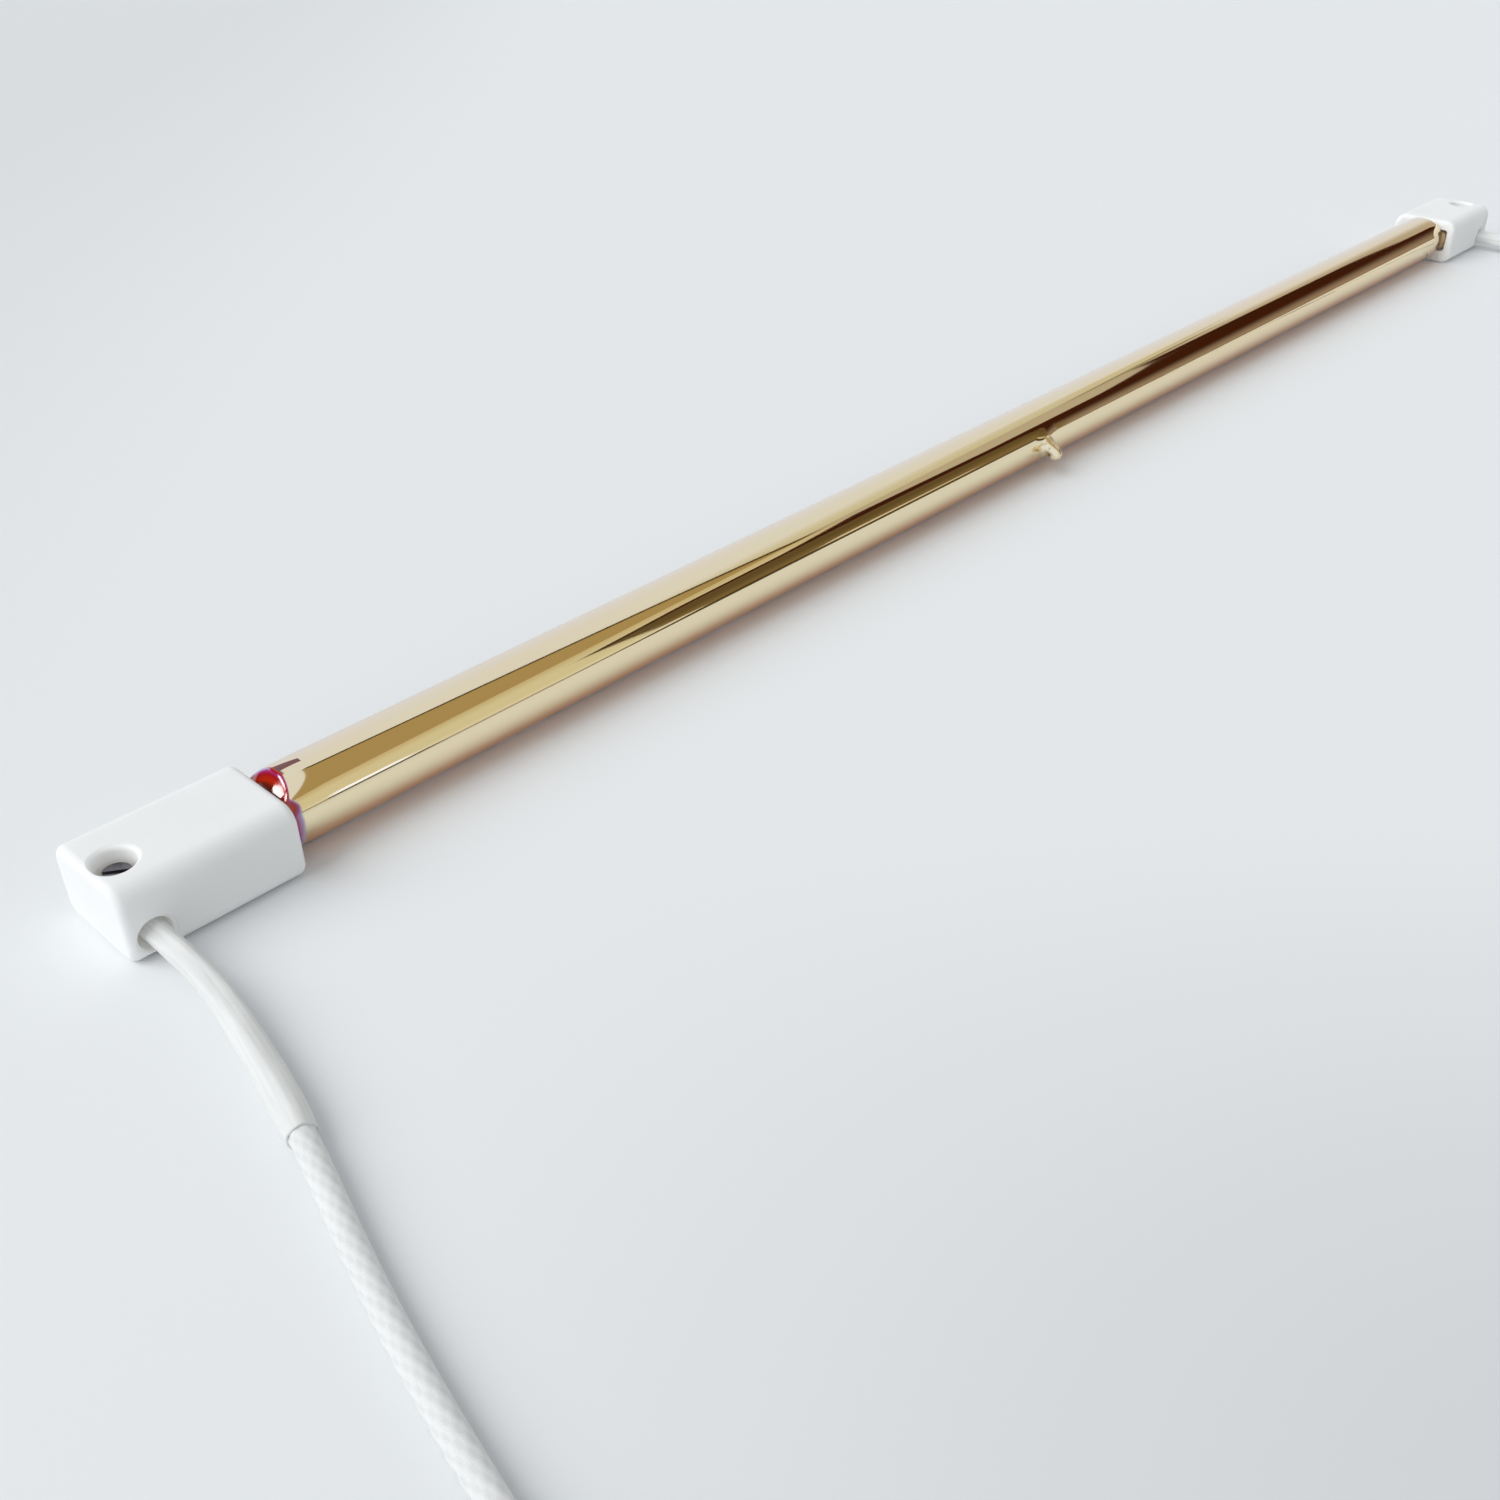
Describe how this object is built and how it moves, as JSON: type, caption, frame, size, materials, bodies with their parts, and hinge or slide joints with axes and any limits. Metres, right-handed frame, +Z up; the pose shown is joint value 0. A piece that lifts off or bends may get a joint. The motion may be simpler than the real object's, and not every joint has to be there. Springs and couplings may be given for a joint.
{
  "type": "quartz heating tube",
  "caption": "Gold-coated quartz infrared heating tube, press-sealed at its ends, in white ceramic block caps with fibreglass leads that end in ring terminals.",
  "frame": {"origin": "under the middle of the tube, on the surface that the two caps rest on", "axes": "+X along the tube from the near cap to the far cap, +Z up, the leads leave towards -Y"},
  "size_m": [0.4212, 0.1217, 0.0106],
  "materials": {
    "gold_coated_quartz": null,
    "tungsten": "drawn tungsten wire, dull grey",
    "molybdenum": "bright grey molybdenum foil and pin",
    "steatite": "unglazed white steatite, fine matt grain",
    "cement": "off-white ceramic cement, rough",
    "brass": "turned brass, dulled",
    "dark_steel": "blackened steel, scuffed slot",
    "nickel_strand": "stranded nickel conductor",
    "lead_braid": "white glass-fibre braid, fine diamond weave",
    "sleeve_braid": "white varnished glass-fibre sleeve, lengthwise ribs",
    "tie_nylon": "white nylon band",
    "tinned_copper": "tinned copper, satin"
  },
  "bodies": {
    "root": {"quartz_tube": "gold_coated_quartz", "filament": "tungsten", "filament_support_1": "tungsten", "filament_support_2": "tungsten", "filament_support_3": "tungsten", "filament_support_4": "tungsten", "filament_support_5": "tungsten", "filament_support_6": "tungsten", "filament_support_7": "tungsten", "filament_leg_near": "tungsten", "filament_leg_far": "tungsten", "seal_foil_near": "molybdenum", "seal_foil_far": "molybdenum", "outer_pin_near": "molybdenum", "outer_pin_far": "molybdenum", "end_cap_near": "steatite", "end_cap_far": "steatite", "cap_cement_near": "cement", "cap_cement_far": "cement", "terminal_post_near": "brass", "terminal_post_far": "brass", "terminal_screw_near": "dark_steel", "terminal_screw_far": "dark_steel", "lead_core_near": "nickel_strand", "lead_core_far": "nickel_strand", "lead_near": "lead_braid", "lead_far": "lead_braid", "lead_sleeve_near": "sleeve_braid", "lead_sleeve_far": "sleeve_braid", "lead_coil_near": "lead_braid", "lead_coil_far": "lead_braid", "lead_tail_near": "lead_braid", "lead_tail_far": "lead_braid", "coil_tie_near": "tie_nylon", "coil_tie_far": "tie_nylon", "ring_terminal_near": "tinned_copper", "ring_terminal_far": "tinned_copper"}
  },
  "joints": []
}
